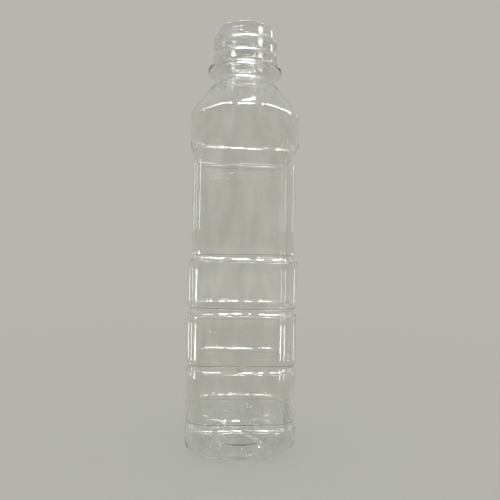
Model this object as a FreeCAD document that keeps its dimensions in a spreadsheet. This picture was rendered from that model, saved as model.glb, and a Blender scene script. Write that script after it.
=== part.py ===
# Square blow-moulded drinks bottle in clear PET, standing on its base, without its cap.
#
# Units are millimetres.  +Z is up, the origin is the centre of the base on the standing plane,
# and the four flat faces look along +X, -X, +Y and -Y.  The bottle is one piece: an outer form
# and the cavity inside it are built the same way, and the cavity is cut from the outer form.
import FreeCAD, Part
import math
import os
import Sketcher

doc = FreeCAD.newDocument("square_bottle")

# Driving dimensions

SIZES = [
    ("body_width", 48.4, "across the flat faces"),
    ("corner_radius", 9.6, "upright corners of the body"),
    ("body_wall", 0.3, "blown wall of the body"),
    ("base_wall", 0.8, "thicker wall of the base"),
    ("heel_radius", 4.0, "rounded edge between the sides and the base"),
    ("foot_inset", 7.0, "how far the corners are drawn in at the standing plane"),
    ("foot_height", 12.5, "standing plane to where the corners stand upright"),
    ("foot_clear", 0.3, "how far outside the corners their foot's rounding ends"),
    ("base_belt", 14.2, "standing plane to the lowest rib"),
    ("first_belt", 24.6, "lowest rib to the second"),
    ("second_belt", 24.4, "second rib to the third"),
    ("third_belt", 23.6, "third rib to the foot of the label panel"),
    ("label_panel", 48.0, "foot to head of the label panel"),
    ("upper_band", 12.5, "head of the label panel to the foot of the shoulder"),
    ("shoulder_height", 22.9, "foot of the shoulder to the neck"),
    ("neck_height", 24.3, "top of the shoulder to the rim"),
    ("rib_width", 3.9, "height of each sunk rib at the surface"),
    ("rib_depth", 1.6, "depth of the three sunk ribs below the label panel"),
    ("panel_rib_depth", 2.0, "depth of the two sunk ribs that end the label panel"),
    ("rib_edge_round", 0.6, "rounded edges of the sunk ribs"),
    ("panel_recess", 1.2, "how far the label panel is set in from the belts"),
    ("shoulder_flare", 3.2, "how far the shoulder's foot would stand outside the faces"),
    ("shoulder_rounding", 6.7, "how much rounder than the body the shoulder's foot is"),
    ("shoulder_edge_round", 2.0, "rounded edge between the shoulder and the body"),
    ("neck_radius", 13.6, "outside of the neck"),
    ("bore_radius", 11.9, "inside of the neck"),
    ("rim_round", 0.5, "rounded outer edge of the rim"),
    ("ring_radius", 17.5, "support ring"),
    ("ring_thickness", 1.3, "support ring"),
    ("finish_height", 18.3, "top of the support ring to the rim"),
    ("bead_radius", 15.1, "tamper bead"),
    ("bead_drop", 13.1, "rim to the underside of the tamper bead"),
    ("bead_land", 0.7, "upright edge of the tamper bead"),
    ("bead_slope", 1.5, "rise of the tamper bead's sloping top"),
    ("thread_radius", 15.0, "crest of the thread"),
    ("thread_pitch", 2.8, "rise of the thread in one turn"),
    ("thread_turns", 1.6, "length of the thread"),
    ("thread_drop", 3.6, "rim to the middle of the thread's upper end"),
    ("thread_foot", 2.0, "width of the thread at its foot"),
    ("thread_crest", 0.8, "width of the thread at its crest"),
    ("thread_root", 0.4, "how deep the thread's foot is sunk in the neck"),
    ("thread_start", 262.0, "direction of the thread's upper end, in degrees from +X"),
    ("dish_radius", 17.3, "push-up of the base at the standing plane"),
    ("dish_crown", 13.8, "push-up at the top of its flank"),
    ("dish_flank", 3.1, "rise of the push-up's flank"),
    ("dish_height", 5.0, "rise of the push-up at its middle"),
    ("star_radius", 2.2, "half width of the four ribs of the base"),
    ("star_height", 2.4, "middle of the base ribs above the standing plane"),
    ("star_reach", 15.8, "centre of the base to the outer end of its ribs"),
    ("gate_radius", 2.0, "moulding mark under the middle of the base"),
    ("gate_height", 0.7, "moulding mark"),
]

sheet = doc.addObject("Spreadsheet::Sheet", "sizes")
for row, (alias, value, meaning) in enumerate(SIZES, start=1):
    sheet.set(f"A{row}", meaning)
    sheet.set(f"B{row}", str(value))
    sheet.setAlias(f"B{row}", alias)
doc.recompute()


def solved(expression):
    """Number that an expression gives now, so that a sketch is drawn near its solved place."""
    value = sheet.evalExpression(expression)
    return float(getattr(value, "Value", value))


def bind(thing, prop, expression):
    """Tie one property to the spreadsheet."""
    thing.setExpression(prop, expression)


def added(*aliases):
    """Expression that adds up cells."""
    return " + ".join(f"sizes.{alias}" for alias in aliases)


# Heights above the standing plane, as a stack of belts

BELTS = ["base_belt", "first_belt", "second_belt", "third_belt", "label_panel", "upper_band"]
PANEL_FOOT = added(*BELTS[:4])
PANEL_HEAD = added(*BELTS[:5])
SHOULDER_FOOT = added(*BELTS)
NECK_FOOT = added(*BELTS, "shoulder_height")
RIM = added(*BELTS, "shoulder_height", "neck_height")
RING_TOP = f"{RIM} - sizes.finish_height"
RIBS = [(added(*BELTS[:count]), "rib_depth") for count in (1, 2, 3)]
RIBS += [(PANEL_FOOT, "panel_rib_depth"), (PANEL_HEAD, "panel_rib_depth")]


# Sketches

def make_body(name):
    """Empty body with its three origin planes."""
    body = doc.addObject("PartDesign::Body", name)
    planes = {feature.Role: feature for feature in body.Origin.OriginFeatures}
    return body, planes


def make_sketch(body, planes, plane, name, height=None):
    """Sketch on one origin plane, raised to a height where it is horizontal."""
    sketch = body.newObject("Sketcher::SketchObject", name)
    sketch.AttachmentSupport = [(planes[plane], "")]
    sketch.MapMode = "FlatFace"
    if height:
        bind(sketch, "AttachmentOffset.Base.z", height)
    return sketch


def constrain(sketch, kind, *where, size_of=None):
    """One constraint, tied to an expression where it is a size."""
    if size_of is None:
        sketch.addConstraint(Sketcher.Constraint(kind, *where))
        return
    number = sketch.addConstraint(Sketcher.Constraint(kind, *where, solved(size_of)))
    bind(sketch, f"Constraints[{number}]", size_of)


def draw_rounded_square(sketch, half, corner):
    """Closed outline of four straights and four quarter arcs round the origin.

    It starts in the middle of the face that looks along +X, so that what is swept round it
    stands square to its first edge.
    """
    h = solved(half)
    c = solved(corner)
    s = h - c
    turns = [FreeCAD.Placement(FreeCAD.Vector(), FreeCAD.Rotation(FreeCAD.Vector(0, 0, 1), 90 * n))
             for n in range(4)]

    def straight(turn, low, high):
        ends = [turn.multVec(FreeCAD.Vector(h, y, 0)) for y in (low, high)]
        return sketch.addGeometry(Part.LineSegment(*ends), False)

    def quarter(n):
        middle = turns[n].multVec(FreeCAD.Vector(s, s, 0))
        circle = Part.Circle(middle, FreeCAD.Vector(0, 0, 1), c)
        return sketch.addGeometry(Part.ArcOfCircle(circle, n * math.pi / 2, (n + 1) * math.pi / 2), False)

    first = straight(turns[0], 0, s)
    arcs = [quarter(0)]
    sides = [first]
    for n in (1, 2, 3):
        sides.append(straight(turns[n], -s, s))
        arcs.append(quarter(n))
    last = straight(turns[0], -s, 0)

    chain = [edge for pair in zip(sides, arcs) for edge in pair] + [last]
    for edge, following in zip(chain[:-1], chain[1:]):
        constrain(sketch, "Tangent", edge, 2, following, 1)
    constrain(sketch, "Coincident", last, 2, first, 1)
    constrain(sketch, "PointOnObject", first, 1, -1)
    constrain(sketch, "Vertical", first)
    constrain(sketch, "Vertical", last)
    constrain(sketch, "Horizontal", sides[1])
    constrain(sketch, "Vertical", sides[2])
    constrain(sketch, "Horizontal", sides[3])
    constrain(sketch, "DistanceX", -1, 1, first, 1, size_of=half)
    constrain(sketch, "DistanceY", -1, 1, sides[1], 1, size_of=half)
    constrain(sketch, "DistanceX", sides[2], 1, -1, 1, size_of=half)
    constrain(sketch, "DistanceY", sides[3], 1, -1, 1, size_of=half)
    constrain(sketch, "Radius", arcs[0], size_of=corner)
    for arc in arcs[1:3]:
        constrain(sketch, "Equal", arcs[0], arc)


def draw_circle(sketch, radius):
    """Circle round the origin."""
    round_edge = Part.Circle(FreeCAD.Vector(), FreeCAD.Vector(0, 0, 1), solved(radius))
    circle = sketch.addGeometry(round_edge, False)
    constrain(sketch, "Coincident", circle, 3, -1, 1)
    constrain(sketch, "Radius", circle, size_of=radius)


def draw_turned_outline(sketch, points):
    """Closed outline for turning, given as expressions of radius and height from corner to corner."""
    corners = [FreeCAD.Vector(solved(r), solved(z), 0) for r, z in points]
    following = corners[1:] + corners[:1]
    edges = [sketch.addGeometry(Part.LineSegment(*ends), False) for ends in zip(corners, following)]
    for n, (radius, height) in enumerate(points):
        constrain(sketch, "Coincident", edges[n - 1], 2, edges[n], 1)
        if radius == "0":
            constrain(sketch, "PointOnObject", edges[n], 1, -2)
        else:
            constrain(sketch, "DistanceX", -1, 1, edges[n], 1, size_of=radius)
        if height == "0":
            constrain(sketch, "PointOnObject", edges[n], 1, -1)
        else:
            constrain(sketch, "DistanceY", -1, 1, edges[n], 1, size_of=height)


# Solid features

def pad(body, sketch, name, length):
    """Straight solid on a sketch."""
    solid = body.newObject("PartDesign::Pad", name)
    solid.Profile = sketch
    bind(solid, "Length", length)
    return solid


def turned(body, planes, sketch, name, kind="PartDesign::Revolution"):
    """Full turn of a sketch about the bottle's axis."""
    solid = body.newObject(kind, name)
    solid.Profile = sketch
    solid.ReferenceAxis = (planes["Z_Axis"], [""])
    solid.Angle = 360
    return solid


def fillet(body, base, name, edges, radius):
    """Rounded edges of a feature, named by their numbers in its shape."""
    solid = body.newObject("PartDesign::Fillet", name)
    solid.Base = (base, [f"Edge{number}" for number in edges])
    bind(solid, "Radius", radius)
    return solid


def edges_between(feature, low, high, level=False):
    """Numbers of a feature's edges that lie between two heights, or only of its level ones."""
    low, high = solved(low), solved(high)
    found = []
    for number, edge in enumerate(feature.Shape.Edges, start=1):
        box = edge.BoundBox
        if low <= box.ZMin and box.ZMax <= high and (not level or box.ZLength < 0.001):
            found.append(number)
    return found


def belt(body, planes, name, foot, length, half, corner):
    """One belt of the body: a straight rounded square."""
    sketch = make_sketch(body, planes, "XY_Plane", f"{name}_outline", foot)
    draw_rounded_square(sketch, half, corner)
    return pad(body, sketch, name, length)


def sunk_rib(body, planes, name, height, depth, skin):
    """Round-bottomed rib, sunk all round the body by a round bar.

    The bar is as wide as the rib at the surface and as deep as the rib at its bottom.  The
    cavity's bar is thicker by the wall, round the same middle, so the wall stays even.
    """
    bar = f"((sizes.rib_width / 2)^2 + sizes.{depth}^2) / (2 * sizes.{depth})"
    centre = f"sizes.body_width / 2 - sizes.{depth} + {bar}"
    path = make_sketch(body, planes, "XY_Plane", f"{name}_path", height)
    draw_rounded_square(path, centre, f"{centre} - sizes.body_width / 2 + sizes.corner_radius")
    section = make_sketch(body, planes, "XZ_Plane", f"{name}_section")
    middle = FreeCAD.Vector(solved(centre), solved(height), 0)
    circle = section.addGeometry(Part.Circle(middle, FreeCAD.Vector(0, 0, 1), solved(bar)), False)
    constrain(section, "DistanceX", -1, 1, circle, 3, size_of=centre)
    constrain(section, "DistanceY", -1, 1, circle, 3, size_of=height)
    constrain(section, "Radius", circle, size_of=f"{bar} + {skin}")
    doc.recompute()
    cut = body.newObject("PartDesign::SubtractivePipe", name)
    cut.Profile = section
    cut.Spine = (path, [f"Edge{n}" for n in range(1, 10)])


def round_rib(body, name, height, skin):
    """Rounded edges where a sunk rib meets the belts above and below it."""
    doc.recompute()
    rib = body.Tip
    reach = f"sizes.rib_width / 2 + {skin} + sizes.rib_edge_round"
    edges = edges_between(rib, f"{height} - ({reach})", f"{height} + {reach}", level=True)
    fillet(body, rib, name, edges, "sizes.rib_edge_round")


def round_foot(body, planes, name, skin, floor):
    """Turned cut that draws the four corners in towards a round foot.

    Its arc stands upright at the height of the foot, just outside the corners.  The cavity's
    arc is smaller by the wall, round the same middle.
    """
    corner_reach = "(sizes.body_width / 2 - sizes.corner_radius) * sqrt(2) + sizes.corner_radius"
    sweep = "(sizes.foot_inset^2 + sizes.foot_height^2) / (2 * sizes.foot_inset)"
    centre = f"{corner_reach} + sizes.foot_clear - {sweep}"
    radius = f"{sweep} - {skin}"
    drop = f"(sizes.foot_height - {floor})"
    middle = FreeCAD.Vector(solved(centre), solved("sizes.foot_height"), 0)
    outside = "sizes.body_width"

    sketch = make_sketch(body, planes, "XZ_Plane", f"{name}_outline")
    circle = Part.Circle(middle, FreeCAD.Vector(0, 0, 1), solved(radius))
    low_end = -math.asin(solved(drop) / solved(radius))
    arc = sketch.addGeometry(Part.ArcOfCircle(circle, low_end, 0), False)
    low = FreeCAD.Vector(middle.x + solved(radius) * math.cos(low_end), solved(floor), 0)
    high = FreeCAD.Vector(middle.x + solved(radius), middle.y, 0)
    far_low = FreeCAD.Vector(solved(outside), low.y, 0)
    far_high = FreeCAD.Vector(solved(outside), high.y, 0)
    corners = [(high, far_high), (far_high, far_low), (far_low, low)]
    top, side, bottom = [sketch.addGeometry(Part.LineSegment(*ends), False) for ends in corners]
    for edge, following in ((arc, top), (top, side), (side, bottom), (bottom, arc)):
        constrain(sketch, "Coincident", edge, 2, following, 1)
    constrain(sketch, "Horizontal", top)
    constrain(sketch, "Vertical", side)
    constrain(sketch, "Horizontal", bottom)
    constrain(sketch, "DistanceX", -1, 1, arc, 3, size_of=centre)
    constrain(sketch, "DistanceY", -1, 1, arc, 3, size_of="sizes.foot_height")
    constrain(sketch, "Radius", arc, size_of=radius)
    constrain(sketch, "DistanceY", -1, 1, top, 1, size_of="sizes.foot_height")
    constrain(sketch, "DistanceX", -1, 1, side, 1, size_of=outside)
    if floor == "0":
        constrain(sketch, "PointOnObject", side, 2, -1)
    else:
        constrain(sketch, "DistanceY", -1, 1, side, 2, size_of=floor)
    turned(body, planes, sketch, name, "PartDesign::Groove")


def base_star(body, name, skin):
    """Four ribs of the base: two round bars laid across each other on the diagonals."""
    for turn in (45, 135):
        bar = body.newObject("PartDesign::SubtractiveCylinder", f"{name}_{turn}")
        bind(bar, "Radius", f"sizes.star_radius + {skin}")
        bind(bar, "Height", f"2 * (sizes.star_reach + {skin})")
        bar.Placement.Rotation = FreeCAD.Rotation(turn, 90, 0)
        bind(bar, "Placement.Base.x", f"-cos({turn} deg) * (sizes.star_reach + {skin})")
        bind(bar, "Placement.Base.y", f"-sin({turn} deg) * (sizes.star_reach + {skin})")
        bind(bar, "Placement.Base.z", "sizes.star_height")


def make_form(name, skin, floor, neck_radius, heel):
    """Square body with its ribs, base and shoulder, up to the foot of the neck.

    The outer form has no skin and no floor.  The cavity is the same form set in by the skin at
    its sides and raised by the floor at its base.  A wider envelope, whose top narrows from a
    very round square to the round neck, trims the straight body to make the shoulder: its edge
    runs level across the middle of each face and drops round the corners.
    """
    half = f"sizes.body_width / 2 - {skin}"
    corner = f"sizes.corner_radius - {skin}"
    panel_half = f"{half} - sizes.panel_recess"
    panel_corner = f"{corner} - sizes.panel_recess"

    body, planes = make_body(name)
    belts = belt(body, planes, f"{name}_belts", floor, f"{PANEL_FOOT} - {floor}", half, corner)
    doc.recompute()
    faces = belts.Shape.Faces
    underside = min(range(len(faces)), key=lambda n: faces[n].CenterOfMass.z)
    heel_fillet = body.newObject("PartDesign::Fillet", f"{name}_heel")
    heel_fillet.Base = (belts, [f"Face{underside + 1}"])
    bind(heel_fillet, "Radius", heel)
    round_foot(body, planes, f"{name}_foot", skin, floor)
    belt(body, planes, f"{name}_panel", PANEL_FOOT, "sizes.label_panel", panel_half, panel_corner)
    belt(body, planes, f"{name}_band", PANEL_HEAD, f"{NECK_FOOT} - ({PANEL_HEAD})", half, corner)
    for number, (height, depth) in enumerate(RIBS, start=1):
        sunk_rib(body, planes, f"{name}_rib_{number}", height, depth, skin)
        round_rib(body, f"{name}_rib_{number}_edges", height, skin)

    dish = make_sketch(body, planes, "XZ_Plane", f"{name}_dish_outline")
    draw_turned_outline(dish, [
        ("0", floor),
        ("sizes.dish_radius", floor),
        ("sizes.dish_crown", f"sizes.dish_flank + {floor}"),
        ("0", f"sizes.dish_height + {floor}"),
    ])
    turned(body, planes, dish, f"{name}_dish", "PartDesign::Groove")
    base_star(body, f"{name}_star", floor)

    envelope, planes = make_body(f"{name}_envelope")
    flared_half = f"{half} + sizes.shoulder_flare"
    flared_corner = f"{corner} + sizes.shoulder_rounding"
    belt(envelope, planes, f"{name}_envelope_foot", "0", SHOULDER_FOOT, flared_half, flared_corner)
    foot = make_sketch(envelope, planes, "XY_Plane", f"{name}_shoulder_foot", SHOULDER_FOOT)
    draw_rounded_square(foot, flared_half, flared_corner)
    head = make_sketch(envelope, planes, "XY_Plane", f"{name}_shoulder_head", NECK_FOOT)
    draw_circle(head, neck_radius)
    shoulder = envelope.newObject("PartDesign::AdditiveLoft", f"{name}_shoulder")
    shoulder.Profile = foot
    shoulder.Sections = [head]
    shoulder.Ruled = True

    trimmed = body.newObject("PartDesign::Boolean", f"{name}_trimmed")
    trimmed.setObjects([envelope])
    trimmed.Type = "Common"
    doc.recompute()
    edges = edges_between(trimmed, SHOULDER_FOOT, f"{NECK_FOOT} - sizes.shoulder_edge_round")
    fillet(body, trimmed, f"{name}_shoulder_edge", edges, "sizes.shoulder_edge_round")
    return body


def make_neck():
    """Turned neck with its support ring, tamper bead and rounded rim, and one right-hand thread."""
    neck, planes = make_body("neck")
    ring_underside = f"{RING_TOP} - sizes.ring_thickness"
    bead_underside = f"{RIM} - sizes.bead_drop"
    outline = make_sketch(neck, planes, "XZ_Plane", "neck_outline")
    draw_turned_outline(outline, [
        ("0", NECK_FOOT),
        ("sizes.neck_radius", NECK_FOOT),
        ("sizes.neck_radius", ring_underside),
        ("sizes.ring_radius", ring_underside),
        ("sizes.ring_radius", RING_TOP),
        ("sizes.neck_radius", RING_TOP),
        ("sizes.neck_radius", bead_underside),
        ("sizes.bead_radius", bead_underside),
        ("sizes.bead_radius", f"{bead_underside} + sizes.bead_land"),
        ("sizes.neck_radius", f"{bead_underside} + sizes.bead_land + sizes.bead_slope"),
        ("sizes.neck_radius", RIM),
        ("0", RIM),
    ])
    core = turned(neck, planes, outline, "neck_core")
    doc.recompute()
    faces = core.Shape.Faces
    top = max(range(len(faces)), key=lambda n: faces[n].CenterOfMass.z)
    rim = neck.newObject("PartDesign::Fillet", "neck_rim")
    rim.Base = (core, [f"Face{top + 1}"])
    bind(rim, "Radius", "sizes.rim_round")

    section = make_sketch(neck, planes, "XZ_Plane", "thread_section")
    foot_turn = "sizes.thread_start - 360 * sizes.thread_turns"
    section.AttachmentOffset.Rotation = FreeCAD.Rotation(FreeCAD.Vector(0, 1, 0), solved(foot_turn))
    bind(section, "AttachmentOffset.Rotation.Angle", f"({foot_turn}) * 1deg")
    middle = f"{RIM} - sizes.thread_drop - sizes.thread_pitch * sizes.thread_turns"
    draw_turned_outline(section, [
        ("sizes.neck_radius - sizes.thread_root", f"{middle} - sizes.thread_foot / 2"),
        ("sizes.thread_radius", f"{middle} - sizes.thread_crest / 2"),
        ("sizes.thread_radius", f"{middle} + sizes.thread_crest / 2"),
        ("sizes.neck_radius - sizes.thread_root", f"{middle} + sizes.thread_foot / 2"),
    ])
    doc.recompute()
    thread = neck.newObject("PartDesign::AdditiveHelix", "thread")
    thread.Profile = section
    thread.ReferenceAxis = (planes["Z_Axis"], [""])
    thread.Mode = "pitch-turns-angle"
    bind(thread, "Pitch", "sizes.thread_pitch")
    bind(thread, "Turns", "sizes.thread_turns")
    return neck


# The bottle

outer = make_form("outer", "0", "0", "sizes.neck_radius", "sizes.heel_radius")
cavity = make_form("cavity", "sizes.body_wall", "sizes.base_wall", "sizes.bore_radius",
                   "sizes.heel_radius - sizes.base_wall")
neck = make_neck()

# Small mark left under the middle of the base, where the preform was filled
gate = doc.addObject("Part::Cylinder", "gate")
bind(gate, "Radius", "sizes.gate_radius")
bind(gate, "Height", "sizes.gate_height + sizes.base_wall / 2")
bind(gate, "Placement.Base.z", "sizes.dish_height - sizes.gate_height")

# Straight bore of the neck, run on past the rim so that it opens the mouth cleanly
bore = doc.addObject("Part::Cylinder", "bore")
bind(bore, "Radius", "sizes.bore_radius")
bind(bore, "Height", "sizes.neck_height + sizes.bore_radius")
bind(bore, "Placement.Base.z", NECK_FOOT)

full_outer = doc.addObject("Part::MultiFuse", "full_outer")
full_outer.Shapes = [outer, neck, gate]
full_cavity = doc.addObject("Part::MultiFuse", "full_cavity")
full_cavity.Shapes = [cavity, bore]
bottle = doc.addObject("Part::Cut", "bottle")
bottle.Label = "bottle"
bottle.Base = full_outer
bottle.Tool = full_cavity
bottle.Placement = FreeCAD.Placement()
doc.recompute()

for thing in doc.Objects:
    if "Invalid" in thing.State or "Error" in thing.State:
        raise RuntimeError(f"{thing.Name} did not build: {thing.getStatusString()}")
if bottle.Shape.isNull() or not bottle.Shape.isValid() or len(bottle.Shape.Solids) != 1:
    raise RuntimeError("the bottle is not one valid solid")

os.makedirs("parts", exist_ok=True)
bottle.Shape.exportStep(f"parts/{bottle.Label}.step")
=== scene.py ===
# Looks of a square drinks bottle: one blown piece of clear PET with a threaded neck, standing
# on a pale studio floor.  Sizes in millimetres follow the solid model; Blender works in metres.
import math
import bmesh
import bpy
from mathutils import Matrix, Vector


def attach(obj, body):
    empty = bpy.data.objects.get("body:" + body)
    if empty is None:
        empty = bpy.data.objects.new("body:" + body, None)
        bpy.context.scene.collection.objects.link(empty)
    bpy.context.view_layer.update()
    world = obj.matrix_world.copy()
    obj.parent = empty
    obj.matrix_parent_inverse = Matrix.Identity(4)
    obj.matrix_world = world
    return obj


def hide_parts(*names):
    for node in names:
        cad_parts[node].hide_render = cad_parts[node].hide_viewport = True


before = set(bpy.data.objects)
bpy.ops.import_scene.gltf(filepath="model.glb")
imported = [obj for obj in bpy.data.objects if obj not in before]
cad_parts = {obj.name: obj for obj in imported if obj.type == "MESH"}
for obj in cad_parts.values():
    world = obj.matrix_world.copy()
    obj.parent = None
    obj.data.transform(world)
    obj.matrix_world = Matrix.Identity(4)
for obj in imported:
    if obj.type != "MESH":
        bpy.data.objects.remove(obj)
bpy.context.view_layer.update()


# Camera
# A pinhole view level with the middle of the bottle, square to one flat face but for a few
# degrees.  Found from the photograph: its place, its aim and its lens belong together.

MM = 0.001
IMAGE_SIDE = 500
FOCAL_PIXELS = 463.0
SENSOR_WIDTH = 36
NEAREST = 10
CAMERA_PLACE = Vector((-11.33, -220.55, 85.15)) * MM
CAMERA_YAW = 3.97
CAMERA_PITCH = 1.39
CAMERA_ROLL = 1.05

yaw, pitch, roll = (math.radians(angle) for angle in (CAMERA_YAW, CAMERA_PITCH, CAMERA_ROLL))
forward = Vector((math.sin(yaw) * math.cos(pitch), math.cos(yaw) * math.cos(pitch), math.sin(pitch)))
level = Vector((math.cos(yaw), -math.sin(yaw), 0))
upright = level.cross(forward)
right = math.cos(roll) * level + math.sin(roll) * upright
up = math.cos(roll) * upright - math.sin(roll) * level

lens = bpy.data.cameras.new("camera")
lens.sensor_width = SENSOR_WIDTH
lens.lens = FOCAL_PIXELS / IMAGE_SIDE * SENSOR_WIDTH
lens.clip_start = NEAREST * MM
camera = bpy.data.objects.new("camera", lens)
camera.matrix_world = Matrix.Translation(CAMERA_PLACE) @ Matrix((right, up, -forward)).transposed().to_4x4()
bpy.context.collection.objects.link(camera)
bpy.context.scene.camera = camera
bpy.context.scene.view_settings.view_transform = "Standard"


# Bottle
# One closed skin of clear PET.  A preform, its neck already moulded, is stretched and blown into
# a square mould.  Rings of points run from the middle of the base up the outside, over the rim
# and down the inside to the middle of the floor.

# Plan of the sides: offsets of a small square, so every ring keeps the same corner centres.
CORE = 14.6
SIDE = 9.6
WALL = 0.3
FLAT_STEPS = 14
CORNER_STEPS = 16


def core_points():
    """Points round the small square, each with the direction in which the sides are offset."""
    found = []
    for n in range(4):
        turn = Matrix.Rotation(n * math.pi / 2, 2)
        for step in range(FLAT_STEPS):
            along = CORE * (2 * step / FLAT_STEPS - 1)
            found.append((turn @ Vector((CORE, along)), turn @ Vector((1, 0))))
        for step in range(CORNER_STEPS):
            angle = math.pi / 2 * step / CORNER_STEPS
            normal = Vector((math.cos(angle), math.sin(angle)))
            found.append((turn @ Vector((CORE, CORE)), turn @ normal))
    return found


COLUMNS = core_points()
DIRECTIONS = [(point + SIDE * normal).normalized() for point, normal in COLUMNS]

# Foot: the heel turns up from the standing ring, and a round sweep draws the corners in.
FLOOR = 0.8
HEEL = 4.0
HEEL_STEPS = 10
FOOT_INSET = 7.0
FOOT_HEIGHT = 12.5
FOOT_CLEAR = 0.3
FOOT_EDGE = 0.8


def soft_least(a, b, blend):
    """The lesser of two lengths, with the edge between them rounded off."""
    overlap = max(blend - abs(a - b), 0) / blend
    return min(a, b) - overlap ** 2 * blend / 4


def foot_reach(height, skin):
    """How far from the axis the round foot reaches, which draws the corners in."""
    sweep = (FOOT_INSET ** 2 + FOOT_HEIGHT ** 2) / (2 * FOOT_INSET)
    middle = CORE * math.sqrt(2) + SIDE + FOOT_CLEAR - sweep
    rise = min(height, FOOT_HEIGHT) - FOOT_HEIGHT
    return middle + math.sqrt((sweep - skin) ** 2 - rise ** 2)


# Ribs: sunk into the sides to stiffen them.  The label panel is set in between two deeper ones.
PANEL_SIDE = 8.4
RIB_DEPTH = 1.6
PANEL_RIB_DEPTH = 2.0
RIBS = [(14.2, RIB_DEPTH), (38.8, RIB_DEPTH), (63.2, RIB_DEPTH), (86.8, PANEL_RIB_DEPTH),
        (134.8, PANEL_RIB_DEPTH)]
BELTS = [SIDE, SIDE, SIDE, SIDE, PANEL_SIDE, SIDE]
RIB_NOSE = 0.6
RIB_NOSE_SLOPE = 24.0
RIB_FLANK = 5.0
RIB_FLANK_SLOPE = 33.0
RIB_WALL_SLOPE = 75.0
RIB_WALL_LEAST = 0.1
RIB_EDGE = 0.4
RIB_EDGE_LEAST = 0.2
RIB_STEPS = 4
SHOULDER_FOOT = 147.3
SIDE_ROW = 4.0


def cosine(degrees):
    """Cosine of an angle in degrees."""
    return math.cos(math.radians(degrees))


def sine(degrees):
    """Sine of an angle in degrees."""
    return math.sin(math.radians(degrees))


def rib_half(depth, skin):
    """Half a sunk rib from its bottom out to the side: (offset from the bottom, height).

    Four arcs follow each other: a tight nose, a nearly straight flank, a steeper wall and a
    rounded edge.  Each is given by its radius and the slope at its end.
    """
    flank = [(RIB_NOSE + skin, RIB_NOSE_SLOPE), (RIB_FLANK + skin, RIB_FLANK_SLOPE)]
    edge = max(RIB_EDGE - skin, RIB_EDGE_LEAST)
    rise = depth - edge * (1 - cosine(RIB_WALL_SLOPE))
    slope = 0.0
    for radius, end in flank:
        rise -= radius * (cosine(slope) - cosine(end))
        slope = end
    wall = max(rise / (cosine(slope) - cosine(RIB_WALL_SLOPE)), RIB_WALL_LEAST)
    points = [(0.0, 0.0)]
    slope = 0.0
    for radius, end in flank + [(wall, RIB_WALL_SLOPE), (-edge, 0.0)]:
        start = points[-1]
        for n in range(1, RIB_STEPS + 1):
            here = slope + (end - slope) * n / RIB_STEPS
            points.append((start[0] + radius * (cosine(slope) - cosine(here)),
                           start[1] + radius * (sine(here) - sine(slope))))
        slope = end
    return points


def rib_outline(height, depth, below, above, skin):
    """Offsets and heights through one sunk rib, from the side below it to the side above."""
    bottom = SIDE - depth - skin
    low = [(bottom + off, height - up) for off, up in rib_half(below - skin - bottom, skin)]
    high = [(bottom + off, height + up) for off, up in rib_half(above - skin - bottom, skin)]
    return low[::-1] + high[1:]


def arc(centre, radius, start, end, steps):
    """Points of an arc, given by its two angles in degrees."""
    angles = [math.radians(start + (end - start) * n / steps) for n in range(steps + 1)]
    return [(centre[0] + radius * math.cos(a), centre[1] + radius * math.sin(a)) for a in angles]


def subdivided(outline, longest):
    """The same outline with its long straights divided."""
    fine = [outline[0]]
    for (r0, z0), (r1, z1) in zip(outline, outline[1:]):
        pieces = max(1, math.ceil(math.hypot(r1 - r0, z1 - z0) / longest))
        fine += [(r0 + (r1 - r0) * n / pieces, z0 + (z1 - z0) * n / pieces) for n in range(1, pieces + 1)]
    return fine


def side_outline(skin, floor):
    """Offsets and heights of the upright sides, from the standing ring to below the shoulder."""
    heel = HEEL - floor
    points = arc((SIDE - skin - heel, floor + heel), heel, -90, 0, HEEL_STEPS)
    for (height, depth), below, above in zip(RIBS, BELTS, BELTS[1:]):
        points += rib_outline(height, depth, below, above, skin)
    points.append((SIDE - skin, SHOULDER_FOOT))
    return subdivided(points, SIDE_ROW)


# Unevenness: the blown wall waves a little, and the ribs don't run quite level.  A wave of the
# wall is (crests round, turn per mm up, start, rise per mm up, its start), and one of the ribs
# is (crests round, turn per mm up, start, share), in radians.
WAVE = 0.05
WALL_WAVES = [(3, 0.11, 0.4, 0.17, 1.1), (7, -0.21, 0.0, 0.31, 2.0)]
RIB_WANDER = 0.16
RIB_WAVES = [(3, 0.9, 1.3, 1.0), (8, -0.5, 0.0, 0.1)]
WANDER_EASE = 6.0


def wave(direction, height):
    """Slight unevenness of the wall at that place, which only ever pulls it in."""
    angle = math.atan2(direction.y, direction.x)
    crests = sum(math.sin(count * angle + turn * height + start) * math.sin(rise * height + foot)
                 for count, turn, start, rise, foot in WALL_WAVES)
    return WAVE * (crests - len(WALL_WAVES)) / 4


def wander(direction, height):
    """How far a rib runs up or down from level, which fades out at the foot and shoulder."""
    angle = math.atan2(direction.y, direction.x)
    ease = min(height - FOOT_HEIGHT + WANDER_EASE, SHOULDER_FOOT - height) / WANDER_EASE
    along = sum(share * math.sin(count * angle + turn * height + start)
                for count, turn, start, share in RIB_WAVES)
    return RIB_WANDER * min(max(ease, 0), 1) * along


def side_rings(skin, floor):
    """Rings of the upright sides."""
    rings = []
    for offset, z in side_outline(skin, floor):
        ring = []
        for (point, normal), direction in zip(COLUMNS, DIRECTIONS):
            place = point + (offset + wave(direction, z)) * normal
            if z < FOOT_HEIGHT:
                place *= soft_least(place.length, foot_reach(z, skin), FOOT_EDGE) / place.length
            ring.append((place.x, place.y, z + wander(direction, z)))
        rings.append(ring)
    return rings


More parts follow.
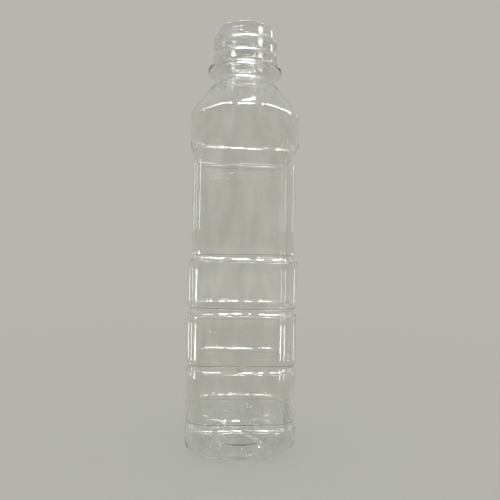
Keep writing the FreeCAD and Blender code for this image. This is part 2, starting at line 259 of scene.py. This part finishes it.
# Base: a round push-up inside the standing ring, with four round ribs that cross on a sunk gate
# mark.  They keep the thin floor from bulging.
DISH = [(17.3, 0.0, 1.2), (13.8, 3.1, 1.6)]
DISH_HEIGHT = 5.0
DISH_MARGIN = 2.0
DISH_EDGE = 0.9
DISH_ROUNDING = 6
DISH_ROW = 0.8
DISH_MIDDLE_ROWS = 22
STAR = 2.2
STAR_HEIGHT = 2.4
STAR_REACH = 15.8
STAR_END = 1.2
STAR_BLEND = 0.5
GATE = 2.0
GATE_EDGE = 0.6
GATE_HEIGHT = 0.7


def soft_most(a, b, blend):
    """The greater of two lengths, with the hollow between them rounded off."""
    return -soft_least(-a, -b, blend)


def square_reach(direction, core, side):
    """How far a rounded square of that core and corner radius reaches from the axis that way."""
    far = max(abs(direction.x), abs(direction.y))
    near = min(abs(direction.x), abs(direction.y))
    flat = (core + side) / far
    if flat * near <= core:
        return flat
    middle = core * (far + near)
    return middle + math.sqrt(middle ** 2 - 2 * core ** 2 + side ** 2)


def rounded(corners, steps=5):
    """Open outline through corners of (across, height, rounding)."""
    places = [Vector(corner[:2]) for corner in corners]
    outline = [tuple(places[0])]
    for before, here, after, corner in zip(places, places[1:], places[2:], corners[1:]):
        if not corner[2]:
            outline.append(tuple(here))
            continue
        back = (before - here).normalized()
        on = (after - here).normalized()
        half = back.angle(on) / 2
        first = here + back * corner[2] / math.tan(half)
        middle = here + (back + on).normalized() * corner[2] / math.sin(half)
        turn = (math.pi - 2 * half) * (1 if back.cross(on) < 0 else -1)
        for n in range(steps + 1):
            outline.append(tuple(middle + Matrix.Rotation(turn * n / steps, 2) @ (first - middle)))
    outline.append(tuple(places[-1]))
    return outline


def dish_outline():
    """Distances and heights of the push-up, from the standing ring to near the middle."""
    dish = rounded([(DISH[0][0] + DISH_MARGIN, 0, 0)] + DISH + [(0, DISH_HEIGHT, 0)], DISH_ROUNDING)
    dish = subdivided([point for point in dish if 0 < point[0] <= DISH[0][0] + DISH_EDGE], DISH_ROW)
    last = dish[-1]
    rows = DISH_MIDDLE_ROWS
    return dish + [(last[0] * (1 - n / rows), last[1] + (DISH_HEIGHT - last[1]) * n / rows)
                   for n in range(1, rows)]


def base_rings(skin, floor, gate):
    """Rings of the base from the standing ring to near its middle."""
    inset = SIDE - skin - (HEEL - floor)
    edge = [soft_least(square_reach(direction, CORE, inset), foot_reach(floor, skin), FOOT_EDGE)
            for direction in DIRECTIONS]
    dish = dish_outline()
    rings = [[(d.x * (far + dish[0][0]) / 2, d.y * (far + dish[0][0]) / 2, floor)
              for d, far in zip(DIRECTIONS, edge)]]
    for across, rise in dish:
        ring = []
        for d in DIRECTIONS:
            x, y = d.x * across, d.y * across
            z = rise
            along, off = abs(x + y) / math.sqrt(2), abs(x - y) / math.sqrt(2)
            for run, beside in ((along, off), (off, along)):
                bar = STAR + floor
                inside = bar ** 2 - beside ** 2
                if inside > 0 and run < STAR_REACH + floor:
                    channel = STAR_HEIGHT + math.sqrt(inside) - floor
                    end = min(1, (STAR_REACH + floor - run) / STAR_END)
                    z = soft_most(z, channel * end, STAR_BLEND)
            if gate:
                near = min(1, max(0, (GATE + GATE_EDGE / 2 - across) / GATE_EDGE))
                z -= GATE_HEIGHT * near * near * (3 - 2 * near)
            ring.append((x, y, z + floor))
        rings.append(ring)
    return rings


# Shoulder: a cone between a square and a circle trims the sides and narrows to the neck.  Its
# wall thickens only at the neck, where the preform isn't stretched.
SHOULDER_CORE = 11.1
SHOULDER_SIDE = 16.3
SHOULDER_EDGE = 0.5
SHOULDER_EDGE_ROW = 0.3
SHOULDER_EDGE_ROWS = 27
SHOULDER_ROWS = 22
NECK_FOOT = 170.2
NECK = 13.6
NECK_TAPER = 16
NECK_BLEND = 0.8
BORE = 11.9


def shoulder_rings(skin, neck):
    """Rings of the shoulder, close together where it meets the sides."""
    heights = [SHOULDER_FOOT + SHOULDER_EDGE_ROW * n for n in range(1, SHOULDER_EDGE_ROWS + 1)]
    left = NECK_FOOT - heights[-1]
    heights += [heights[-1] + left * n / SHOULDER_ROWS for n in range(1, SHOULDER_ROWS)]
    rings = []
    for z in heights:
        share = (z - SHOULDER_FOOT) / (NECK_FOOT - SHOULDER_FOOT)
        side = (SHOULDER_SIDE - skin) * (1 - share) + (NECK - skin) * share
        side -= (NECK - skin - neck) * share ** NECK_TAPER
        ring = []
        for direction in DIRECTIONS:
            body = square_reach(direction, CORE, SIDE - skin) + wave(direction, z) * (1 - share)
            slope = square_reach(direction, SHOULDER_CORE * (1 - share), side)
            reach = soft_most(soft_least(body, slope, SHOULDER_EDGE), neck, NECK_BLEND)
            ring.append((direction.x * reach, direction.y * reach, z))
        rings.append(ring)
    return rings


# Neck: moulded thick and true, with a support ring for the filling line, a bead that holds the
# tamper band, one right-hand thread and a rounded rim.
RIM = 194.5
RIM_ROUND = 0.5
MOUTH_ROUND = 0.3
RING = 17.5
RING_TOP = 176.2
RING_THICKNESS = 1.3
RING_ROUND = 0.35
RING_FILLET = 0.4
BEAD = 15.1
BEAD_FOOT = 181.4
BEAD_LAND = 0.7
BEAD_SLOPE = 1.5
BEAD_FILLET = 0.3
BEAD_ROUND = 0.25
BEAD_EASE = 0.4
THREAD = 15.0
THREAD_PITCH = 2.8
THREAD_TURNS = 1.6
THREAD_START = 46.0
THREAD_FOOT = 186.42
THREAD_ROOT_HALF = 0.87
THREAD_CREST_HALF = 0.4
THREAD_RUN_OUT = 10.0
THREAD_MARGIN = 1.2
THREAD_ROWS = 36
NECK_ROW = 2.5


def thread_rise(angle, z):
    """How far the thread stands out of the neck at that place, from 0 to 1."""
    most = 0
    for turn in range(math.ceil(THREAD_TURNS) + 1):
        along = (angle - THREAD_START) % 360 + 360 * turn
        left = 360 * THREAD_TURNS - along
        if left < 0:
            continue
        centre = THREAD_FOOT + THREAD_PITCH * along / 360
        width = (THREAD_ROOT_HALF - abs(z - centre)) / (THREAD_ROOT_HALF - THREAD_CREST_HALF)
        run_out = min(along, left) / THREAD_RUN_OUT
        most = max(most, min(width, run_out, 1))
    return most * most * (3 - 2 * most)


def neck_rings():
    """Rings of the neck: support ring, tamper bead, thread, rim and bore."""
    ring_foot = RING_TOP - RING_THICKNESS
    bead_top = BEAD_FOOT + BEAD_LAND
    outline = rounded([
        (NECK, NECK_FOOT, 0),
        (NECK, ring_foot, RING_FILLET),
        (RING, ring_foot, RING_ROUND),
        (RING, RING_TOP, RING_ROUND),
        (NECK, RING_TOP, RING_FILLET),
        (NECK, BEAD_FOOT, BEAD_FILLET),
        (BEAD, BEAD_FOOT, BEAD_ROUND),
        (BEAD, bead_top, BEAD_EASE),
        (NECK, bead_top + BEAD_SLOPE, BEAD_EASE),
        (NECK, RIM, RIM_ROUND),
        (BORE, RIM, MOUTH_ROUND),
        (BORE, NECK_FOOT, 0),
    ])
    low = THREAD_FOOT - THREAD_MARGIN
    high = THREAD_FOOT + THREAD_PITCH * THREAD_TURNS + THREAD_MARGIN
    threaded = [(NECK, low + (high - low) * n / THREAD_ROWS) for n in range(THREAD_ROWS + 1)]
    fine = []
    for before, here in zip([outline[0]] + outline, outline):
        if before[1] < low < here[1]:
            fine += threaded
        fine.append(here)
    rings = []
    for across, z in subdivided(fine, NECK_ROW):
        ring = []
        for direction in DIRECTIONS:
            reach = across
            if across == NECK and low < z < high:
                angle = math.degrees(math.atan2(direction.y, direction.x))
                reach += (THREAD - NECK) * thread_rise(angle, z)
            ring.append((direction.x * reach, direction.y * reach, z))
        rings.append(ring)
    return rings


def skin_mesh(name, rings, first, last):
    """Mesh of rings joined into one closed skin, each end closed on a point of the axis."""
    shape = bmesh.new()
    rows = [[shape.verts.new(Vector(point) * MM) for point in ring] for ring in rings]
    for lower, upper in zip(rows, rows[1:]):
        for n in range(len(lower)):
            after = (n + 1) % len(lower)
            shape.faces.new((lower[n], lower[after], upper[after], upper[n]))
    for height, row, reverse in ((first, rows[0], True), (last, rows[-1], False)):
        tip = shape.verts.new((0, 0, height * MM))
        for n in range(len(row)):
            corner = (row[n], row[(n + 1) % len(row)], tip)
            shape.faces.new(corner[::-1] if reverse else corner)
    for face in shape.faces:
        face.smooth = True
    mesh = bpy.data.meshes.new(name)
    shape.to_mesh(mesh)
    shape.free()
    return mesh


outside = base_rings(0, 0, True)[::-1] + side_rings(0, 0) + shoulder_rings(0, NECK) + neck_rings()
inside = base_rings(WALL, FLOOR, False)[::-1] + side_rings(WALL, FLOOR) + shoulder_rings(WALL, BORE)
bottle_mesh = skin_mesh("clear_bottle", outside + inside[::-1],
                        DISH_HEIGHT - GATE_HEIGHT, DISH_HEIGHT + FLOOR)
bottle = bpy.data.objects.new("clear_bottle", bottle_mesh)
bpy.context.collection.objects.link(bottle)

# Material: PET from a polished mould is colourless and glassy.  Its wall is never quite even, so
# what shows through it swims a little, with faint streaks drawn upwards.  The thick neck is
# greyer.  The scuffs are far finer in life and are drawn at 2.5 mm so that they show at all.
PET_IOR = 1.575
THIN_WALL = "#FFFFFE"
THICK_WALL = "#F5F5F3"
THICK_NECK = "#EFEFED"
UNBENT = "#FBFCFC"
NECK_GREY_FROM = 166
NECK_GREY_TO = 172
STREAK_WIDTH = 7
STREAK_DRAW = 0.35
SWELL_WIDTH = 14
SWELL_HEIGHT = 0.012
SCUFF_WIDTH = 2.5
SCUFF_ROUGHNESS = 0.03


def linear(hex_colour):
    """Linear colour of an sRGB hex colour."""
    parts = [int(hex_colour[n:n + 2], 16) / 255 for n in (1, 3, 5)]
    return tuple(c / 12.92 if c <= 0.04045 else ((c + 0.055) / 1.055) ** 2.4 for c in parts) + (1,)


def new_material(name):
    """Material with an empty node tree."""
    material = bpy.data.materials.new(name)
    material.use_nodes = True
    material.node_tree.nodes.clear()
    return material


def node(tree, kind, settings=(), values=(), links=()):
    """Adds one node with its settings, its sockets' values and the links into it."""
    made = tree.nodes.new(kind)
    for name, value in dict(settings).items():
        setattr(made, name, value)
    for name, value in dict(values).items():
        made.inputs[name].default_value = value
    for name, source in dict(links).items():
        tree.links.new(source, made.inputs[name])
    return made


pet = new_material("clear PET, blow-moulded")
tree = pet.node_tree
place = node(tree, "ShaderNodeTexCoord")
swell = node(tree, "ShaderNodeTexNoise", values={"Scale": 1 / (SWELL_WIDTH * MM), "Detail": 2.0},
             links={"Vector": place.outputs["Object"]})
scuffs = node(tree, "ShaderNodeTexNoise", values={"Scale": 1 / (SCUFF_WIDTH * MM), "Detail": 3.0},
              links={"Vector": place.outputs["Object"]})
drawn = node(tree, "ShaderNodeMapping", values={"Scale": (1.0, 1.0, STREAK_DRAW)},
             links={"Vector": place.outputs["Object"]})
streaks = node(tree, "ShaderNodeTexNoise", values={"Scale": 1 / (STREAK_WIDTH * MM), "Detail": 2.0},
               links={"Vector": drawn.outputs["Vector"]})
spread = node(tree, "ShaderNodeMapRange", values={"From Min": 0.35, "From Max": 0.65},
              links={"Value": streaks.outputs["Fac"]})
tint = node(tree, "ShaderNodeMix", {"data_type": "RGBA"}, {6: linear(THIN_WALL), 7: linear(THICK_WALL)},
            {0: spread.outputs["Result"]})
height = node(tree, "ShaderNodeSeparateXYZ", links={0: place.outputs["Object"]})
thick = node(tree, "ShaderNodeMapRange", {"interpolation_type": "SMOOTHSTEP"},
             {"From Min": NECK_GREY_FROM * MM, "From Max": NECK_GREY_TO * MM},
             {"Value": height.outputs["Z"]})
tint = node(tree, "ShaderNodeMix", {"data_type": "RGBA"}, {7: linear(THICK_NECK)},
            {0: thick.outputs["Result"], 6: tint.outputs[2]})
gloss = node(tree, "ShaderNodeMapRange",
             values={"From Min": 0.3, "From Max": 0.7, "To Min": 0.0, "To Max": SCUFF_ROUGHNESS},
             links={"Value": scuffs.outputs["Fac"]})
ripple = node(tree, "ShaderNodeBump", values={"Strength": 1.0, "Distance": SWELL_HEIGHT * MM},
              links={"Height": swell.outputs["Fac"]})
clear = node(tree, "ShaderNodeBsdfPrincipled", values={"IOR": PET_IOR, "Transmission Weight": 1.0},
             links={"Base Color": tint.outputs[2], "Roughness": gloss.outputs["Result"],
                    "Normal": ripple.outputs["Normal"]})
# Shadows and the floor's own light pass straight through, as so thin a wall lets them.
ray = node(tree, "ShaderNodeLightPath")
unbent = node(tree, "ShaderNodeMath", {"operation": "MAXIMUM"},
              links={0: ray.outputs["Is Shadow Ray"], 1: ray.outputs["Is Diffuse Ray"]})
passing = node(tree, "ShaderNodeBsdfTransparent", values={"Color": linear(UNBENT)})
surface = node(tree, "ShaderNodeMixShader",
               links={0: unbent.outputs[0], 1: clear.outputs[0], 2: passing.outputs[0]})
node(tree, "ShaderNodeOutputMaterial", links={"Surface": surface.outputs[0]})
bottle.data.materials.append(pet)

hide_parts("bottle")
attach(bottle, "root")


# Studio
# A wide pale paper floor runs out into a background of its own colour.  Small soft lamps, given
# in metres and watts, show only as highlights on the bottle.  A dim room behind the camera and a
# black card in front are seen only in mirror reflections.

BACKGROUND = linear("#B6B6AF")
PAPER = "#C9C9C1"
PAPER_FLECK = "#CCCCC4"
PAPER_GRAIN = 3
FLOOR_SIDE = 6.0
NEAR_FLOOR = 0.3
FAR_FLOOR = 0.8

floor_shape = bmesh.new()
bmesh.ops.create_grid(floor_shape, x_segments=2, y_segments=2, size=FLOOR_SIDE / 2)
floor_mesh = bpy.data.meshes.new("floor")
floor_shape.to_mesh(floor_mesh)
floor_shape.free()
floor = bpy.data.objects.new("floor", floor_mesh)
bpy.context.collection.objects.link(floor)

# Matt paper with a faint fleck, which fades into the background's plain colour far away.
paper = new_material("pale studio paper")
tree = paper.node_tree
place = node(tree, "ShaderNodeTexCoord")
distance = node(tree, "ShaderNodeVectorMath", {"operation": "LENGTH"}, links={0: place.outputs["Object"]})
fade = node(tree, "ShaderNodeMapRange", {"interpolation_type": "SMOOTHSTEP"},
            {"From Min": NEAR_FLOOR, "From Max": FAR_FLOOR}, {"Value": distance.outputs["Value"]})
ray = node(tree, "ShaderNodeLightPath")
seen = node(tree, "ShaderNodeMath", {"operation": "MAXIMUM"},
            links={0: ray.outputs["Is Camera Ray"], 1: ray.outputs["Is Transmission Ray"]})
seen = node(tree, "ShaderNodeMath", {"operation": "MAXIMUM"},
            links={0: seen.outputs[0], 1: ray.outputs["Is Glossy Ray"]})
share = node(tree, "ShaderNodeMath", {"operation": "MULTIPLY"},
             links={0: seen.outputs[0], 1: fade.outputs["Result"]})
grain = node(tree, "ShaderNodeTexNoise", values={"Scale": 1 / (PAPER_GRAIN * MM), "Detail": 4.0},
             links={"Vector": place.outputs["Object"]})
tone = node(tree, "ShaderNodeMix", {"data_type": "RGBA"}, {6: linear(PAPER), 7: linear(PAPER_FLECK)},
            {0: grain.outputs["Fac"]})
matt = node(tree, "ShaderNodeBsdfDiffuse", links={"Color": tone.outputs[2]})
glow = node(tree, "ShaderNodeEmission", values={"Color": BACKGROUND, "Strength": 1.0})
surface = node(tree, "ShaderNodeMixShader",
               links={0: share.outputs[0], 1: matt.outputs[0], 2: glow.outputs[0]})
node(tree, "ShaderNodeOutputMaterial", links={"Surface": surface.outputs[0]})
floor_mesh.materials.append(paper)


def soft_lamp(name, place, aim, width, height, watts, through=True):
    """Rectangular lamp that shows only as highlights, also through the bottle unless told not to."""
    light = bpy.data.lights.new(name, "AREA")
    light.shape = "RECTANGLE"
    light.size = width
    light.size_y = height
    light.energy = watts
    lamp = bpy.data.objects.new(name, light)
    lamp.location = place
    lamp.rotation_euler = (Vector(aim) - Vector(place)).to_track_quat("-Z", "Y").to_euler()
    lamp.visible_camera = lamp.visible_diffuse = False
    lamp.visible_transmission = through
    bpy.context.collection.objects.link(lamp)


def around(azimuth, distance, height):
    """Place at that many degrees round from the front, to the right if positive."""
    return (distance * sine(azimuth), -distance * cosine(azimuth), height)


def hand(azimuth):
    """Side on which a lamp stands."""
    return "right" if azimuth > 0 else "left"


# A row of lamps high in front gives the bright dashes along the ribs.
MIDDLE = (0, 0, 0.09)
ROW = range(-11, 13)
ROW_DISTANCE = 0.447
ROW_HEIGHT = 0.753
ROW_PITCH = 0.037
ROW_TALL = 0.17
ROW_WIDTH = 0.019
ROW_WIDTH_CHANGE = 0.008
ROW_WIDTH_TURN = 2.4
ROW_BRIGHTNESS = 125

for n in ROW:
    width = ROW_WIDTH + ROW_WIDTH_CHANGE * math.sin(ROW_WIDTH_TURN * n)
    soft_lamp(f"row_{n - ROW[0]}", (n * ROW_PITCH, -ROW_DISTANCE, ROW_HEIGHT),
              (n * ROW_PITCH, 0, MIDDLE[2]), width, ROW_TALL, ROW_BRIGHTNESS * width * ROW_TALL)

# High lamps at the sides, of (azimuth, watts), carry them round the corners.
HIGH_LAMPS = [(58, 0.5), (84, 1.1), (112, 1.1), (-62, 0.6), (-92, 0.8)]
HIGH_WIDTH = 0.14
HIGH_TALL = 0.12

for azimuth, watts in HIGH_LAMPS:
    soft_lamp(f"high_{hand(azimuth)}_{abs(azimuth)}", around(azimuth, ROW_DISTANCE, ROW_HEIGHT), MIDDLE,
              HIGH_WIDTH, HIGH_TALL, watts, through=False)

# Slim columns of three lamps near the bottle give the upright lines on its corners.  A column is
# (azimuth, strengths of its lamps) and a lamp (lowest, highest, watts).
NEAR_COLUMNS = [(44, (0.6, 0.25, 0.8)), (27, (0.8, 0.2, 0.3)), (100, (0.3, 0.4, 0.6)),
                (-66, (1.0, 1.2, 1.4)), (-90, (0.4, 0.25, 0.8)), (-115, (0.4, 0.3, 1.0))]
NEAR_LAMPS = [(0.018, 0.046, 0.018), (0.056, 0.083, 0.018), (0.105, 0.150, 0.007)]
NEAR_DISTANCE = 0.12
NEAR_WIDTH = 0.010

for azimuth, strengths in NEAR_COLUMNS:
    for (low, high, watts), strength in zip(NEAR_LAMPS, strengths):
        middle = (low + high) / 2
        soft_lamp(f"near_{hand(azimuth)}_{abs(azimuth)}_{round(middle / MM)}",
                  around(azimuth, NEAR_DISTANCE, middle), (0, 0, middle), NEAR_WIDTH, high - low,
                  watts * strength, through=False)

# Three lamps give the upright bars on the neck, and one overhead the glint on the shoulder.
NECK_MIDDLE = (0, 0, 0.185)
NECK_DISTANCE = 0.8
OVERHEAD_PLACE = (0.044, -0.134, 0.90)
OVERHEAD_WIDTH = 0.028
OVERHEAD_TALL = 0.005
OVERHEAD_WATTS = 0.005
SHOULDER_MIDDLE = (0, 0, 0.155)

soft_lamp("neck_right", around(60, NECK_DISTANCE, 0.545), NECK_MIDDLE, 0.30, 0.18, 1.0)
soft_lamp("neck_left", around(-50, NECK_DISTANCE, 0.51), NECK_MIDDLE, 0.24, 0.10, 0.45)
soft_lamp("neck_side", around(128, NECK_DISTANCE, 0.57), NECK_MIDDLE, 0.24, 0.12, 0.35, through=False)
soft_lamp("overhead", OVERHEAD_PLACE, SHOULDER_MIDDLE, OVERHEAD_WIDTH, OVERHEAD_TALL, OVERHEAD_WATTS)

# Matt black card, cut flat and laid on the paper in front, darkens what the bottle mirrors there.
CARD_SIDE = 0.4
CARD_PLACE = (0, -0.23, 0.001)
CARD_BLACK = "#101010"

card_shape = bmesh.new()
bmesh.ops.create_grid(card_shape, x_segments=1, y_segments=1, size=CARD_SIDE / 2)
card_mesh = bpy.data.meshes.new("dark_card")
card_shape.to_mesh(card_mesh)
card_shape.free()
card = bpy.data.objects.new("dark_card", card_mesh)
card.location = CARD_PLACE
card.visible_camera = card.visible_diffuse = card.visible_shadow = card.visible_transmission = False
bpy.context.collection.objects.link(card)
felt = new_material("black card")
tree = felt.node_tree
matt = node(tree, "ShaderNodeBsdfDiffuse", values={"Color": linear(CARD_BLACK)})
node(tree, "ShaderNodeOutputMaterial", links={"Surface": matt.outputs[0]})
card_mesh.materials.append(felt)

# Pale walls and a slightly lighter ceiling, dim behind the camera for mirror reflections.
CEILING = "#C4C4C4"
DIM_WALLS = "#5A5A58"
FLOOR_LIGHT = "#E4E4E4"
CEILING_FROM = 0.3
CEILING_TO = 0.8
DIM_FROM = 0.0
DIM_TO = -0.6

world = bpy.data.worlds.new("studio")
bpy.context.scene.world = world
world.use_nodes = True
tree = world.node_tree
tree.nodes.clear()
ray = node(tree, "ShaderNodeLightPath")
place = node(tree, "ShaderNodeTexCoord")
axis = node(tree, "ShaderNodeSeparateXYZ", links={0: place.outputs["Generated"]})
room = node(tree, "ShaderNodeMapRange", {"interpolation_type": "SMOOTHSTEP"},
            {"From Min": CEILING_FROM, "From Max": CEILING_TO}, {"Value": axis.outputs["Z"]})
walls = node(tree, "ShaderNodeMix", {"data_type": "RGBA"}, {6: BACKGROUND, 7: linear(CEILING)},
             {0: room.outputs["Result"]})
behind = node(tree, "ShaderNodeMapRange", {"interpolation_type": "SMOOTHSTEP"},
              {"From Min": DIM_FROM, "From Max": DIM_TO}, {"Value": axis.outputs["Y"]})
mirrored = node(tree, "ShaderNodeMath", {"operation": "MULTIPLY"},
                links={0: behind.outputs["Result"], 1: ray.outputs["Is Reflection Ray"]})
walls = node(tree, "ShaderNodeMix", {"data_type": "RGBA"}, {7: linear(DIM_WALLS)},
             {0: mirrored.outputs[0], 6: walls.outputs[2]})
shade = node(tree, "ShaderNodeMix", {"data_type": "RGBA"}, {7: BACKGROUND},
             {0: ray.outputs["Is Camera Ray"], 6: walls.outputs[2]})
shade = node(tree, "ShaderNodeMix", {"data_type": "RGBA"}, {7: linear(FLOOR_LIGHT)},
             {0: ray.outputs["Is Diffuse Ray"], 6: shade.outputs[2]})
sky = node(tree, "ShaderNodeBackground", values={"Strength": 1.0}, links={"Color": shade.outputs[2]})
node(tree, "ShaderNodeOutputWorld", links={"Surface": sky.outputs[0]})

# Light turns many times inside the clear wall, so its paths are long and keep their highlights.
LIGHT_TURNS = 22

cycles = bpy.context.scene.cycles
cycles.caustics_reflective = False
cycles.caustics_refractive = False
cycles.max_bounces = LIGHT_TURNS
cycles.transmission_bounces = LIGHT_TURNS
cycles.glossy_bounces = LIGHT_TURNS
cycles.sample_clamp_indirect = 0
